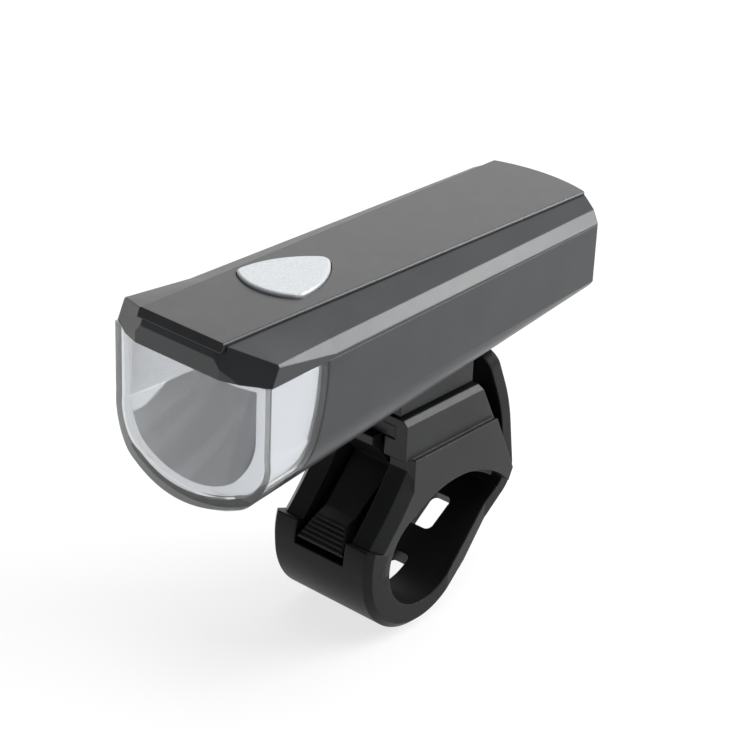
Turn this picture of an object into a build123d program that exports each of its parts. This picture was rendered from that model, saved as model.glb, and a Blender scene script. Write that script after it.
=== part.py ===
from build123d import *
import os
from math import cos, degrees, hypot, radians, sin, sqrt

os.makedirs("parts", exist_ok=True)

# A bicycle headlight that slides into a bracket, which a rubber strap holds on the handlebar.
# The origin is the middle of the handlebar. X runs along the bar, the lamp shines along -Y
# and +Z is up. All sizes are in millimetres. A drop is measured down from the lamp's top,
# and a back is measured towards the rear from the front edge of the lamp's top panel.

# Handlebar, and where the lamp stands over it
BAR_RADIUS = 11.1
NOSE_AHEAD = 56.5
LAMP_RISE = 66.2

# Lamp, outer sizes, each at its front and at its rear
LAMP_LENGTH = 106.0
PANEL_HALF_FRONT = 10.7
PANEL_HALF_REAR = 12.1
STRIP_HALF_FRONT = 19.5
STRIP_HALF_FULL = 18.0
STRIP_HALF_REAR = 15.8
STRIP_DROP_FRONT = 2.6
STRIP_DROP_FULL = 3.15
STRIP_DROP_REAR = 2.3
FACET_WIDTH_FRONT = 0.4
FACET_WIDTH_REAR = 2.1
FACET_DROP_TIP = 3.1
FACET_DROP_FULL = 5.7
FACET_DROP_REAR = 4.4
FACET_FULL_BACK = 20.0
PARTING_DROP_FRONT = 6.8
PARTING_DROP_REAR = 4.7
WALL_DROP_FRONT = 22.0
WALL_DROP_REAR = 17.2
CORNER_HALF_FRONT = 13.0
CORNER_HALF_REAR = 15.3
CORNER_DROP_FRONT = 33.6
CORNER_DROP_REAR = 19.7
CORNER_BULGE_FRONT = 2.2
CORNER_BULGE_REAR = 0.12
BELLY_DROP_FRONT = 36.8
BELLY_DROP_REAR = 20.1

# Rear: how far its curve stands out between the corners
REAR_BULGE = 4.8

# Nose: the swept corners, the bevels over the lens and the curve of the front
CORNER_SWEEP = 4.7
BEVEL_LENGTH = 1.2
BEVEL_DROP = 3.0
NOSE_BULGE = 2.9
NOSE_SOLID_BACK = 3.0

# Walls and clearances
COVER_WALL = 1.7
HOUSING_WALL = 2.0
LENS_WALL = 1.8
FIT_GAP = 0.12
INNER_GAP = 0.3
CUT_OVER = 4.0

# Lens: its front, the rounded rim below it and the curved rear edge of its side windows
LENS_AHEAD = 0.5
LENS_BOTTOM_BACK = 4.5
WINDOW_REACH = 13.3
WINDOW_TOP_DROP = 7.0
WINDOW_HEIGHT = 24.5
RIM_DEPTH = 1.8
RIM_DROP = 1.2
RIM_SIDE_WIDTH = 0.5
SEAL_THICKNESS = 0.5

FRONT_Y = -NOSE_AHEAD
REAR_Y = FRONT_Y + LAMP_LENGTH
BODY_HALF_FRONT = STRIP_HALF_FRONT + FACET_WIDTH_FRONT
BODY_HALF_REAR = STRIP_HALF_REAR + FACET_WIDTH_REAR
WINDOW_BACK = LENS_BOTTOM_BACK + WINDOW_REACH
CUT_HALF = BODY_HALF_FRONT + CUT_OVER
rear_radius = (BODY_HALF_REAR**2 + REAR_BULGE**2) / (2 * REAR_BULGE)


def back(distance):
    """Y of a place this far behind the front edge of the top panel."""
    return FRONT_Y + distance


def drop(distance):
    """Z of a place this far below the lamp's top."""
    return LAMP_RISE - distance


def taper(front, rear, y):
    """Size at y, where it changes evenly from the lamp's front to its rear."""
    return front + (rear - front) * (y - FRONT_Y) / LAMP_LENGTH


def across(y):
    """Plane across the lamp at y, with its own X and Y along the part's X and Z."""
    return Plane.XZ.offset(-y)


def parting_z(y):
    """Height of the joint between the cover and the housing."""
    return drop(taper(PARTING_DROP_FRONT, PARTING_DROP_REAR, y))


def belly_z(y):
    """Height of the housing's underside on its middle line."""
    return drop(taper(BELLY_DROP_FRONT, BELLY_DROP_REAR, y))


def hull_section(y, inset=0, top=None, rim_side=0, rim_drop=0):
    """Section at y: flat top, upright sides, canted corners and a rounded belly."""
    half = taper(BODY_HALF_FRONT, BODY_HALF_REAR, y) - inset - rim_side
    wall_end = drop(taper(WALL_DROP_FRONT, WALL_DROP_REAR, y))
    corner_x = taper(CORNER_HALF_FRONT, CORNER_HALF_REAR, y) - inset / 2 - rim_side
    corner_z = drop(taper(CORNER_DROP_FRONT, CORNER_DROP_REAR, y)) + inset + rim_drop
    bulge = taper(CORNER_BULGE_FRONT, CORNER_BULGE_REAR, y)
    chord = hypot(half - corner_x, wall_end - corner_z)
    middle_x = (half + corner_x) / 2 + bulge * (wall_end - corner_z) / chord
    middle_z = (wall_end + corner_z) / 2 - bulge * (half - corner_x) / chord
    top_z = parting_z(y) if top is None else top
    lowest = (0, belly_z(y) + inset + rim_drop)
    with BuildSketch(across(y)) as section:
        with BuildLine():
            Line((-half, top_z), (half, top_z))
            Line((half, top_z), (half, wall_end))
            ThreePointArc((half, wall_end), (middle_x, middle_z), (corner_x, corner_z))
            ThreePointArc((corner_x, corner_z), lowest, (-corner_x, corner_z))
            ThreePointArc((-corner_x, corner_z), (-middle_x, middle_z), (-half, wall_end))
            Line((-half, wall_end), (-half, top_z))
        make_face()
    return section.sketch


def hull_block(inset, y_from, y_to, top=None):
    """Solid body of the lamp below the parting line, inset from its outer wall."""
    with BuildPart() as block:
        loft([hull_section(y, inset, top) for y in (y_from, y_to)], ruled=True)
    return block.part


def nose_plan(ahead, straight_half=0):
    """Everything behind the front, which is one curve or a straight middle and two canted ends."""
    wide = BODY_HALF_FRONT
    side_y = back(NOSE_BULGE - ahead)
    far_y = REAR_Y + CUT_OVER
    far_x = wide + CUT_OVER
    with BuildSketch(Plane.XY.offset(LAMP_RISE)) as plan:
        with BuildLine():
            if straight_half:
                Polyline((-wide, side_y), (-straight_half, back(-ahead)),
                         (straight_half, back(-ahead)), (wide, side_y))
            else:
                ThreePointArc((-wide, side_y), (0, back(-ahead)), (wide, side_y))
            Polyline((wide, side_y), (far_x, side_y), (far_x, far_y), (-far_x, far_y),
                     (-far_x, side_y), (-wide, side_y))
        make_face()
    return plan.sketch


def tail_plan(inset=0):
    """Everything ahead of the curved rear, inset from it."""
    centre_y = REAR_Y - rear_radius
    front_y = back(-CUT_OVER)
    with BuildSketch(Plane.XY.offset(LAMP_RISE)) as plan:
        with Locations((0, centre_y)):
            Circle(rear_radius - inset)
        with Locations((0, (front_y + centre_y) / 2)):
            Rectangle(2 * CUT_HALF, centre_y - front_y)
    return plan.sketch


def lens_block(inset, top=None):
    """Solid front of the lamp behind the lens's face, inset from the lens's outer side."""
    front_y = back(-LENS_AHEAD) + inset
    rim_y = front_y + RIM_DEPTH
    end_y = back(WINDOW_BACK + CUT_OVER)
    sections = [hull_section(front_y, inset, top, RIM_SIDE_WIDTH, RIM_DROP)]
    sections += [hull_section(y, inset, top) for y in (rim_y, end_y)]
    with BuildPart() as block:
        loft(sections, ruled=True)
        extrude(nose_plan(LENS_AHEAD - inset), amount=-BELLY_DROP_FRONT - CUT_OVER,
                mode=Mode.INTERSECT)
    return block.part


def ahead_of_window(shift=0):
    """Side view of everything ahead of the side windows' curved rear edge."""
    bottom_y = back(LENS_BOTTOM_BACK + shift)
    top_y = bottom_y + WINDOW_REACH
    centre_z = drop(WINDOW_TOP_DROP)
    low_z = drop(BELLY_DROP_FRONT + CUT_OVER)
    with BuildSketch(Plane.YZ) as side_view:
        with BuildLine():
            EllipticalCenterArc((bottom_y, centre_z), WINDOW_REACH, WINDOW_HEIGHT, 0, arc_size=-90)
            Polyline((bottom_y, centre_z - WINDOW_HEIGHT), (bottom_y, low_z),
                     (back(-CUT_OVER), low_z), (back(-CUT_OVER), LAMP_RISE), (top_y, LAMP_RISE),
                     (top_y, centre_z))
        make_face()
    return side_view.sketch


# Front lens: a clear shell with a flat face, a rounded rim and two side windows.
with BuildPart() as front_lens:
    add(lens_block(0))
    add(lens_block(LENS_WALL, LAMP_RISE), mode=Mode.SUBTRACT)
    extrude(ahead_of_window(), amount=CUT_HALF, both=True, mode=Mode.INTERSECT)
front_lens.part.label = "front_lens"
export_step(front_lens.part, "parts/front_lens.step")

# Lens seal: a thin gasket along the lens's rear edge.
with BuildPart() as lens_seal:
    add(hull_block(0, back(LENS_BOTTOM_BACK - SEAL_THICKNESS), back(WINDOW_BACK + CUT_OVER)))
    add(hull_block(LENS_WALL, back(0), back(WINDOW_BACK + CUT_OVER + CUT_OVER), LAMP_RISE),
        mode=Mode.SUBTRACT)
    extrude(ahead_of_window(SEAL_THICKNESS), amount=CUT_HALF, both=True, mode=Mode.INTERSECT)
    extrude(ahead_of_window(), amount=CUT_HALF, both=True, mode=Mode.SUBTRACT)
lens_seal.part.label = "lens_seal"
export_step(lens_seal.part, "parts/lens_seal.step")

# Screws and posts shared by the housing, the cover, the board and the shoe
FRONT_SCREW_HALF = 11.4
FRONT_SCREW_BACK = 20.3
REAR_SCREW_HALF = 12.0
REAR_SCREW_INSET = 8.0
BOSS_RADIUS = 2.4
WIDE_BOSS_RADIUS = 3.4
WIDE_BOSS_RISE = 1.4
SCREW_RADIUS = 1.0
SCREW_HOLE_RADIUS = 1.25
SCREW_HEAD_RADIUS = 2.0
SCREW_HEAD_HEIGHT = 1.3
COVER_SCREW_TOP_DROP = 3.3
COVER_SCREW_LENGTH = 9.0

# Circuit board
BOARD_THICKNESS = 1.6
BOARD_DROP = 6.2
BOARD_HALF = 10.6
BOARD_FRONT_BACK = 20.6
BOARD_REAR_GAP = 4.4
POST_SPACING_HALF = 5.4
FRONT_POST_BACK = 22.4
REAR_POST_INSET = 23.5
POST_RADIUS = 2.1
POST_PILOT_DEPTH = 5.0

board_top = drop(BOARD_DROP)
board_bottom = board_top - BOARD_THICKNESS
board_rear = REAR_Y - BOARD_REAR_GAP

# Mounting shoe and the cradle it slides in
SHOE_FRONT = -6.4
SHOE_REAR = 15.9
SHOE_BOTTOM = 27.7
FOOT_TOP = 30.4
FOOT_HALF = 9.2
NECK_HALF = 6.2
SOLE_BOTTOM = 33.0
SOLE_HALF = 10.4
SHOE_SCREW_YS = (-1.0, 12.0)
SHOE_SCREW_LENGTH = 9.0
SHOE_BOSS_RISE = 2.4
SHOE_COUNTERBORE = 2.4

# Charging port
PORT_HALF_WIDTH = 4.5
PORT_HALF_HEIGHT = 1.6
PORT_WALL = 0.3
PORT_LENGTH = 7.3
FLAP_HALF_WIDTH = 6.6
FLAP_HEIGHT = 6.6
FLAP_ROUND = 0.6
FLAP_THICKNESS = 1.5
port_z = board_bottom - PORT_HALF_HEIGHT
flap_low = port_z - FLAP_HEIGHT / 2

# Lower housing: a tapering tub, open at the top and at its curved front.
cover_screw_points = [
    (FRONT_SCREW_HALF, back(FRONT_SCREW_BACK)),
    (-FRONT_SCREW_HALF, back(FRONT_SCREW_BACK)),
    (REAR_SCREW_HALF, REAR_Y - REAR_SCREW_INSET),
    (-REAR_SCREW_HALF, REAR_Y - REAR_SCREW_INSET),
]
post_points = [
    (POST_SPACING_HALF, back(FRONT_POST_BACK)),
    (-POST_SPACING_HALF, back(FRONT_POST_BACK)),
    (POST_SPACING_HALF, REAR_Y - REAR_POST_INSET),
    (-POST_SPACING_HALF, REAR_Y - REAR_POST_INSET),
]
shoe_screw_points = [(0, y) for y in SHOE_SCREW_YS]
cover_screw_z = drop(COVER_SCREW_TOP_DROP + COVER_SCREW_LENGTH)

with BuildPart() as inner_posts:
    for screw_x, screw_y in cover_screw_points:
        with BuildSketch(Plane.XY.offset(parting_z(screw_y))):
            with Locations((screw_x, screw_y)):
                Circle(BOSS_RADIUS)
        extrude(amount=-BELLY_DROP_FRONT)
    with BuildSketch(Plane.XY.offset(cover_screw_z + WIDE_BOSS_RISE)):
        with Locations(*cover_screw_points):
            Circle(WIDE_BOSS_RADIUS)
    extrude(amount=-BELLY_DROP_FRONT)
    with BuildSketch(Plane.XY.offset(board_bottom)):
        with Locations(*post_points):
            Circle(POST_RADIUS)
    extrude(amount=-BELLY_DROP_FRONT)
    for screw_x, screw_y in shoe_screw_points:
        with BuildSketch(Plane.XY.offset(belly_z(screw_y) + HOUSING_WALL + SHOE_BOSS_RISE)):
            with Locations((screw_x, screw_y)):
                Circle(BOSS_RADIUS)
        extrude(amount=-BELLY_DROP_FRONT)
    add(hull_block(0, back(0), REAR_Y, LAMP_RISE), mode=Mode.INTERSECT)

with BuildPart() as housing_cavity:
    add(hull_block(HOUSING_WALL, back(-CUT_OVER), REAR_Y, LAMP_RISE))
    extrude(tail_plan(HOUSING_WALL), amount=-BELLY_DROP_FRONT, mode=Mode.INTERSECT)

with BuildPart() as lower_housing:
    add(hull_block(0, FRONT_Y, REAR_Y))
    add(housing_cavity.part, mode=Mode.SUBTRACT)
    add(inner_posts.part)
    extrude(tail_plan(), amount=-BELLY_DROP_FRONT, mode=Mode.INTERSECT)
    extrude(ahead_of_window(SEAL_THICKNESS), amount=CUT_HALF, both=True, mode=Mode.SUBTRACT)
    with BuildSketch(Plane.XY.offset(cover_screw_z)):
        with Locations(*cover_screw_points):
            Circle(SCREW_HEAD_RADIUS + INNER_GAP)
    extrude(amount=-BELLY_DROP_FRONT, mode=Mode.SUBTRACT)
    with BuildSketch(Plane.XY.offset(cover_screw_z)):
        with Locations(*cover_screw_points):
            Circle(SCREW_HOLE_RADIUS)
    extrude(amount=BELLY_DROP_FRONT, mode=Mode.SUBTRACT)
    with BuildSketch(Plane.XY.offset(board_bottom)):
        with Locations(*post_points):
            Circle(SCREW_RADIUS + FIT_GAP)
    extrude(amount=-POST_PILOT_DEPTH, mode=Mode.SUBTRACT)
    with BuildSketch(Plane.XY.offset(SHOE_BOTTOM)):
        with Locations(*shoe_screw_points):
            Circle(SCREW_RADIUS + FIT_GAP)
    extrude(amount=BELLY_DROP_FRONT, mode=Mode.SUBTRACT)
    with BuildSketch(across(REAR_Y)):
        with Locations((0, port_z)):
            RectangleRounded(2 * (FLAP_HALF_WIDTH + INNER_GAP), FLAP_HEIGHT + 2 * INNER_GAP,
                             FLAP_ROUND + INNER_GAP)
    extrude(amount=FLAP_THICKNESS + FIT_GAP, mode=Mode.SUBTRACT)
    with BuildSketch(across(REAR_Y)):
        with Locations((0, port_z)):
            RectangleRounded(2 * (PORT_HALF_WIDTH + INNER_GAP),
                             2 * (PORT_HALF_HEIGHT + INNER_GAP), PORT_HALF_HEIGHT)
    extrude(amount=HOUSING_WALL + CUT_OVER, mode=Mode.SUBTRACT)
lower_housing.part.label = "lower_housing"
export_step(lower_housing.part, "parts/lower_housing.step")

# Reflector: a block behind the lens with a half bowl, its light source in the flat ceiling.
REFLECTOR_FRONT_BACK = 2.6
REFLECTOR_REAR_BACK = 19.0
REFLECTOR_TOP_DROP = 7.4
CEILING_DROP = 8.6
BOWL_HALF = 16.6
BOWL_DEPTH = 23.6
BOWL_UPRIGHT_SHARE = 0.42
BOWL_APEX_BACK = 17.6
BOWL_STEP_SHARES = (1.0, 0.86, 0.7, 0.5, 0.3, 0.14)
LED_BACK = 11.5
LED_WINDOW = 6.4
reflector_inset = LENS_WALL + INNER_GAP


def bowl_section(y, share):
    """D-shaped section of the bowl at y, sized by a share of its mouth."""
    ceiling = drop(CEILING_DROP)
    half = BOWL_HALF * share
    upright = BOWL_DEPTH * share * BOWL_UPRIGHT_SHARE
    round_depth = BOWL_DEPTH * share - upright
    with BuildSketch(across(y)) as section:
        with BuildLine():
            Polyline((half, ceiling - upright), (half, ceiling), (-half, ceiling),
                     (-half, ceiling - upright))
            EllipticalCenterArc((0, ceiling - upright), half, round_depth, 180, arc_size=180)
        make_face()
    return section.sketch


bowl_mouth_y = back(REFLECTOR_FRONT_BACK)
bowl_length = BOWL_APEX_BACK - REFLECTOR_FRONT_BACK
bowl_sections = []
for share in BOWL_STEP_SHARES:
    bowl_sections.append(bowl_section(bowl_mouth_y + bowl_length * (1 - share**2), share))

with BuildPart() as bowl:
    loft(bowl_sections)

with BuildPart() as reflector:
    add(lens_block(reflector_inset, drop(REFLECTOR_TOP_DROP)))
    with BuildSketch(Plane.XY.offset(LAMP_RISE)):
        with Locations((0, back((REFLECTOR_FRONT_BACK + REFLECTOR_REAR_BACK) / 2))):
            Rectangle(2 * BODY_HALF_FRONT, REFLECTOR_REAR_BACK - REFLECTOR_FRONT_BACK)
    extrude(amount=-BELLY_DROP_FRONT - CUT_OVER, mode=Mode.INTERSECT)
    add(bowl.part, mode=Mode.SUBTRACT)
    with BuildSketch(Plane.XY.offset(drop(REFLECTOR_TOP_DROP))):
        with Locations((0, back(LED_BACK))):
            Rectangle(LED_WINDOW, LED_WINDOW)
    extrude(amount=-(CEILING_DROP - REFLECTOR_TOP_DROP) - FIT_GAP, mode=Mode.SUBTRACT)
    with BuildSketch(Plane.XY.offset(LAMP_RISE)):
        with Locations(*cover_screw_points):
            Circle(WIDE_BOSS_RADIUS + INNER_GAP)
    extrude(amount=-BELLY_DROP_FRONT, mode=Mode.SUBTRACT)
reflector.part.label = "reflector"
export_step(reflector.part, "parts/reflector.step")

# Light source: an emitter under an aluminium board, with a finned heat sink on top.
LED_BOARD_LENGTH = 11.0
LED_BOARD_WIDTH = 14.0
LED_BOARD_THICKNESS = 1.2
EMITTER_SIDE = 3.5
EMITTER_THICKNESS = 0.7
EMITTER_DOME = 1.5
SINK_LENGTH = 13.0
SINK_WIDTH = 19.0
SINK_BASE = 0.8
SINK_RISE = 2.2
FIN_COUNT = 7
FIN_THICKNESS = 0.9

led_board_bottom = drop(REFLECTOR_TOP_DROP)
led_board_top = led_board_bottom + LED_BOARD_THICKNESS
with BuildPart() as led_board:
    with BuildSketch(Plane.XY.offset(led_board_bottom)):
        with Locations((0, back(LED_BACK))):
            RectangleRounded(LED_BOARD_WIDTH, LED_BOARD_LENGTH, LED_BOARD_THICKNESS)
    extrude(amount=LED_BOARD_THICKNESS)
led_board.part.label = "led_board"
export_step(led_board.part, "parts/led_board.step")

with BuildPart() as led_emitter:
    with BuildSketch(Plane.XY.offset(led_board_bottom)):
        with Locations((0, back(LED_BACK))):
            Rectangle(EMITTER_SIDE, EMITTER_SIDE)
    extrude(amount=-EMITTER_THICKNESS)
    with Locations((0, back(LED_BACK), led_board_bottom - EMITTER_THICKNESS)):
        Sphere(EMITTER_DOME, arc_size1=-90, arc_size2=0, align=(Align.CENTER, Align.CENTER, Align.MAX))
led_emitter.part.label = "led_emitter"
export_step(led_emitter.part, "parts/led_emitter.step")

with BuildPart() as heat_sink:
    with BuildSketch(Plane.XY.offset(led_board_top)):
        with Locations((0, back(LED_BACK))):
            Rectangle(SINK_WIDTH, SINK_LENGTH)
    extrude(amount=SINK_BASE)
    fin_spacing = (SINK_WIDTH - FIN_THICKNESS) / (FIN_COUNT - 1)
    with BuildSketch(Plane.XY.offset(led_board_top + SINK_BASE)):
        with Locations((0, back(LED_BACK))):
            with GridLocations(fin_spacing, 0, FIN_COUNT, 1):
                Rectangle(FIN_THICKNESS, SINK_LENGTH)
    extrude(amount=SINK_RISE - SINK_BASE)
heat_sink.part.label = "heat_sink"
export_step(heat_sink.part, "parts/heat_sink.step")

# Button outline: a shield of three arcs, with its place and size on the top panel.
BUTTON_BACK = 30.4
BUTTON_SIDE_SHIFT = -1.2
BUTTON_HALF = 8.1
BUTTON_FRONT_REACH = 10.0
BUTTON_CORNER_REACH = 7.0
BUTTON_REAR_REACH = 10.0
BUTTON_BULGE_HEIGHT = 2.3
BUTTON_ROUND = 2.2
BUTTON_FLANGE = 0.9
BUTTON_TRAVEL = 0.5
BUTTON_PROUD = 0.7
BUTTON_EDGE = 0.5
BUTTON_GAP = 0.2


def button_outline(z, grow=0):
    """Shield outline of the button on the plane at z, grown outwards all round."""
    front_y = -BUTTON_FRONT_REACH
    corner_y = -BUTTON_CORNER_REACH
    rear_y = BUTTON_REAR_REACH
    chord = hypot(BUTTON_HALF, rear_y - corner_y)
    side_x = BUTTON_HALF / 2 + BUTTON_BULGE_HEIGHT * (rear_y - corner_y) / chord
    side_y = (rear_y + corner_y) / 2 + BUTTON_BULGE_HEIGHT * BUTTON_HALF / chord
    with BuildSketch() as outline:
        with BuildLine():
            ThreePointArc((-BUTTON_HALF, corner_y), (0, front_y), (BUTTON_HALF, corner_y))
            ThreePointArc((BUTTON_HALF, corner_y), (side_x, side_y), (0, rear_y))
            ThreePointArc((0, rear_y), (-side_x, side_y), (-BUTTON_HALF, corner_y))
        make_face()
        fillet(outline.vertices(), radius=BUTTON_ROUND)
        if grow:
            offset(amount=grow)
    place = Location((BUTTON_SIDE_SHIFT, back(BUTTON_BACK), z))
    return outline.sketch.moved(place)


# Top cover: a shell with a strip and a canted facet along each side and a bevelled nose.
PANEL_THICKNESS = 1.8
PANEL_PROUD = 0.7
PANEL_EDGE = 0.25
PANEL_NOSE_BACK = 0.6
COVER_PILOT_RADIUS = 1.05


def cover_section(y, strip_half, strip_drop, facet_drop):
    """Outer section of the cover at y, with the seat of the top panel let into it."""
    seat_half = taper(PANEL_HALF_FRONT, PANEL_HALF_REAR, y) + FIT_GAP
    half = taper(BODY_HALF_FRONT, BODY_HALF_REAR, y)
    right = [(seat_half, drop(PANEL_THICKNESS)), (seat_half, drop(PANEL_PROUD)),
             (strip_half, drop(strip_drop)), (half, drop(facet_drop)), (half, parting_z(y))]
    left = [(-x, z) for x, z in reversed(right)]
    with BuildSketch(across(y)) as section:
        with BuildLine():
            Polyline(*right, *left, close=True)
        make_face()
    return section.sketch


def cover_cavity_section(y):
    """Section of the hollow under the cover at y."""
    seat_half = taper(PANEL_HALF_FRONT, PANEL_HALF_REAR, y)
    strip_half = taper(STRIP_HALF_FRONT, STRIP_HALF_REAR, y) - COVER_WALL
    strip_z = drop(taper(STRIP_DROP_FRONT, STRIP_DROP_REAR, y) + COVER_WALL)
    half = taper(BODY_HALF_FRONT, BODY_HALF_REAR, y) - HOUSING_WALL
    right = [(seat_half, drop(PANEL_THICKNESS + COVER_WALL)), (strip_half, strip_z),
             (half, parting_z(y)), (half, parting_z(y) - CUT_OVER)]
    left = [(-x, z) for x, z in reversed(right)]
    with BuildSketch(across(y)) as section:
        with BuildLine():
            Polyline(*right, *left, close=True)
        make_face()
    return section.sketch


def bevel_plane(start, end):
    """Plane of the nose's bevel, which leaves the edge from start to end forwards and down."""
    edge = Vector(*end) - Vector(*start)
    level = hypot(edge.X, edge.Y)
    slope = Vector(edge.Y / level * BEVEL_LENGTH, -edge.X / level * BEVEL_LENGTH, -BEVEL_DROP)
    return Plane(origin=start, x_dir=edge, z_dir=slope.cross(edge))


strip_corner_y = back(CORNER_SWEEP)
right_bevel = bevel_plane((PANEL_HALF_FRONT, back(PANEL_NOSE_BACK), drop(PANEL_PROUD)),
                          (STRIP_HALF_FRONT, strip_corner_y, drop(STRIP_DROP_FRONT)))
left_bevel = bevel_plane((-STRIP_HALF_FRONT, strip_corner_y, drop(STRIP_DROP_FRONT)),
                         (-PANEL_HALF_FRONT, back(PANEL_NOSE_BACK), drop(PANEL_PROUD)))
middle_bevel = bevel_plane((-PANEL_HALF_FRONT, FRONT_Y, LAMP_RISE),
                           (PANEL_HALF_FRONT, FRONT_Y, LAMP_RISE))

cover_stations = (
    (back(-BEVEL_LENGTH), STRIP_HALF_FRONT, STRIP_DROP_FRONT, FACET_DROP_TIP),
    (strip_corner_y, STRIP_HALF_FRONT, STRIP_DROP_FRONT, FACET_DROP_TIP),
    (back(FACET_FULL_BACK), STRIP_HALF_FULL, STRIP_DROP_FULL, FACET_DROP_FULL),
    (REAR_Y, STRIP_HALF_REAR, STRIP_DROP_REAR, FACET_DROP_REAR),
)
cover_sections = [cover_section(*station) for station in cover_stations]
with BuildPart() as cover_posts:
    for screw_x, screw_y in cover_screw_points:
        with BuildSketch(Plane.XY.offset(parting_z(screw_y))):
            with Locations((screw_x, screw_y)):
                Circle(BOSS_RADIUS)
        extrude(amount=PARTING_DROP_FRONT - PANEL_THICKNESS - COVER_WALL)
    add(loft(cover_sections, ruled=True, mode=Mode.PRIVATE), mode=Mode.INTERSECT)

with BuildPart() as cover_cavity:
    loft([cover_cavity_section(y) for y in (back(NOSE_SOLID_BACK), REAR_Y)], ruled=True)
    extrude(tail_plan(COVER_WALL), amount=-BELLY_DROP_FRONT, mode=Mode.INTERSECT)

with BuildPart() as top_cover:
    loft(cover_sections, ruled=True)
    extrude(nose_plan(BEVEL_LENGTH, PANEL_HALF_FRONT), amount=-BELLY_DROP_FRONT,
            mode=Mode.INTERSECT)
    for plane in (right_bevel, left_bevel, middle_bevel):
        split(bisect_by=plane, keep=Keep.BOTTOM)
    extrude(tail_plan(), amount=-BELLY_DROP_FRONT, mode=Mode.INTERSECT)
    add(cover_cavity.part, mode=Mode.SUBTRACT)
    add(cover_posts.part)
    for screw_x, screw_y in cover_screw_points:
        with BuildSketch(Plane.XY.offset(drop(COVER_SCREW_TOP_DROP))):
            with Locations((screw_x, screw_y)):
                Circle(COVER_PILOT_RADIUS)
        extrude(amount=-PARTING_DROP_FRONT, mode=Mode.SUBTRACT)
    extrude(button_outline(drop(PANEL_THICKNESS + COVER_WALL + CUT_OVER), BUTTON_GAP),
            amount=PANEL_THICKNESS + COVER_WALL + CUT_OVER, mode=Mode.SUBTRACT)
top_cover.part.label = "top_cover"
export_step(top_cover.part, "parts/top_cover.step")


def panel_section(y):
    """Section of the top panel at y, with a small bevel along both upper edges."""
    half = taper(PANEL_HALF_FRONT, PANEL_HALF_REAR, y)
    right = [(half, drop(PANEL_THICKNESS)), (half, drop(PANEL_EDGE)),
             (half - PANEL_EDGE, LAMP_RISE)]
    left = [(-x, z) for x, z in reversed(right)]
    with BuildSketch(across(y)) as section:
        with BuildLine():
            Polyline(*right, *left, close=True)
        make_face()
    return section.sketch


# Top panel: a long plate that lies in the cover, stands a little proud and shares its nose bevel.
with BuildPart() as top_panel:
    loft([panel_section(y) for y in (back(-BEVEL_LENGTH), REAR_Y)], ruled=True)
    split(bisect_by=middle_bevel, keep=Keep.BOTTOM)
    extrude(tail_plan(), amount=-BELLY_DROP_FRONT, mode=Mode.INTERSECT)
    extrude(button_outline(drop(PANEL_THICKNESS), BUTTON_GAP), amount=PANEL_THICKNESS,
            mode=Mode.SUBTRACT)
top_panel.part.label = "top_panel"
export_step(top_panel.part, "parts/top_panel.step")

# Circuit board with the switch, the indicator and the charging socket on it.
with BuildPart() as circuit_board:
    with BuildSketch(Plane.XY.offset(board_bottom)):
        with Locations((0, (back(BOARD_FRONT_BACK) + board_rear) / 2)):
            RectangleRounded(2 * BOARD_HALF, board_rear - back(BOARD_FRONT_BACK), BOARD_THICKNESS)
        with Locations(*post_points):
            Circle(SCREW_HOLE_RADIUS, mode=Mode.SUBTRACT)
        with Locations(*cover_screw_points):
            Circle(BOSS_RADIUS + INNER_GAP, mode=Mode.SUBTRACT)
    extrude(amount=BOARD_THICKNESS)
circuit_board.part.label = "circuit_board"
export_step(circuit_board.part, "parts/circuit_board.step")

SWITCH_SIDE = 4.6
SWITCH_HEIGHT = 1.0
PLUNGER_RADIUS = 1.1
PLUNGER_SINK = 0.35
INDICATOR_LENGTH = 1.6
INDICATOR_WIDTH = 0.9
INDICATOR_HEIGHT = 0.6
INDICATOR_SPACING_HALF = 4.2

switch_place = (BUTTON_SIDE_SHIFT, back(BUTTON_BACK))
switch_top = board_top + SWITCH_HEIGHT
plunger_foot = switch_top - PLUNGER_SINK
plunger_top = switch_top + BUTTON_TRAVEL + FIT_GAP
with BuildPart() as tact_switch:
    with BuildSketch(Plane.XY.offset(board_top)):
        with Locations(switch_place):
            Rectangle(SWITCH_SIDE, SWITCH_SIDE)
    extrude(amount=SWITCH_HEIGHT)
    with BuildSketch(Plane.XY.offset(plunger_foot - BUTTON_TRAVEL - FIT_GAP)):
        with Locations(switch_place):
            Circle(PLUNGER_RADIUS + FIT_GAP)
    extrude(amount=SWITCH_HEIGHT, mode=Mode.SUBTRACT)
tact_switch.part.label = "tact_switch"
export_step(tact_switch.part, "parts/tact_switch.step")

with BuildPart() as switch_plunger:
    with BuildSketch(Plane.XY.offset(plunger_foot)):
        with Locations(switch_place):
            Circle(PLUNGER_RADIUS)
    extrude(amount=plunger_top - plunger_foot)
switch_plunger.part.label = "switch_plunger"
export_step(switch_plunger.part, "parts/switch_plunger.step")

with BuildPart() as indicator_leds:
    with BuildSketch(Plane.XY.offset(board_top)):
        with Locations(switch_place):
            with GridLocations(2 * INDICATOR_SPACING_HALF, 0, 2, 1):
                Rectangle(INDICATOR_WIDTH, INDICATOR_LENGTH)
    extrude(amount=INDICATOR_HEIGHT)
indicator_leds.part.label = "indicator_leds"
export_step(indicator_leds.part, "parts/indicator_leds.step")

# Push button: a translucent shield, held under the cover by its flange.
button_top = LAMP_RISE + BUTTON_PROUD
flange_top = drop(PANEL_THICKNESS + COVER_WALL) - FIT_GAP
with BuildPart() as push_button:
    extrude(button_outline(flange_top), amount=button_top - flange_top)
    fillet(push_button.faces().sort_by(Axis.Z)[-1].edges(), radius=BUTTON_EDGE)
    extrude(button_outline(flange_top, BUTTON_FLANGE), amount=plunger_top - flange_top)
push_button.part.label = "push_button"
export_step(push_button.part, "parts/push_button.step")

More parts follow.
